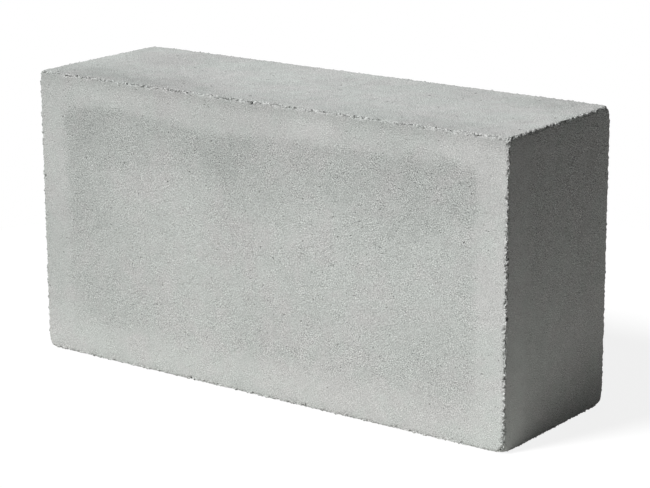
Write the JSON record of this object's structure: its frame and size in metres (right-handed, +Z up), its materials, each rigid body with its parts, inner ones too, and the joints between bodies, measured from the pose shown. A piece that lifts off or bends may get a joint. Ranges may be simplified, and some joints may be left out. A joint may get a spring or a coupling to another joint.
{
  "type": "solid concrete block",
  "caption": "Solid rectangular building block cast in pale grey concrete, with flat faces, crumbly arrises and slightly worn corners.",
  "frame": {"origin": "middle of the bottom bed face, level with what the block stands on", "axes": "+X along the block's length, +Y from the front face to the back face through its thickness, +Z up"},
  "size_m": [0.44, 0.14, 0.23],
  "materials": {
    "concrete": "matte"
  },
  "bodies": {
    "root": {"concrete_block": "concrete"}
  },
  "joints": []
}
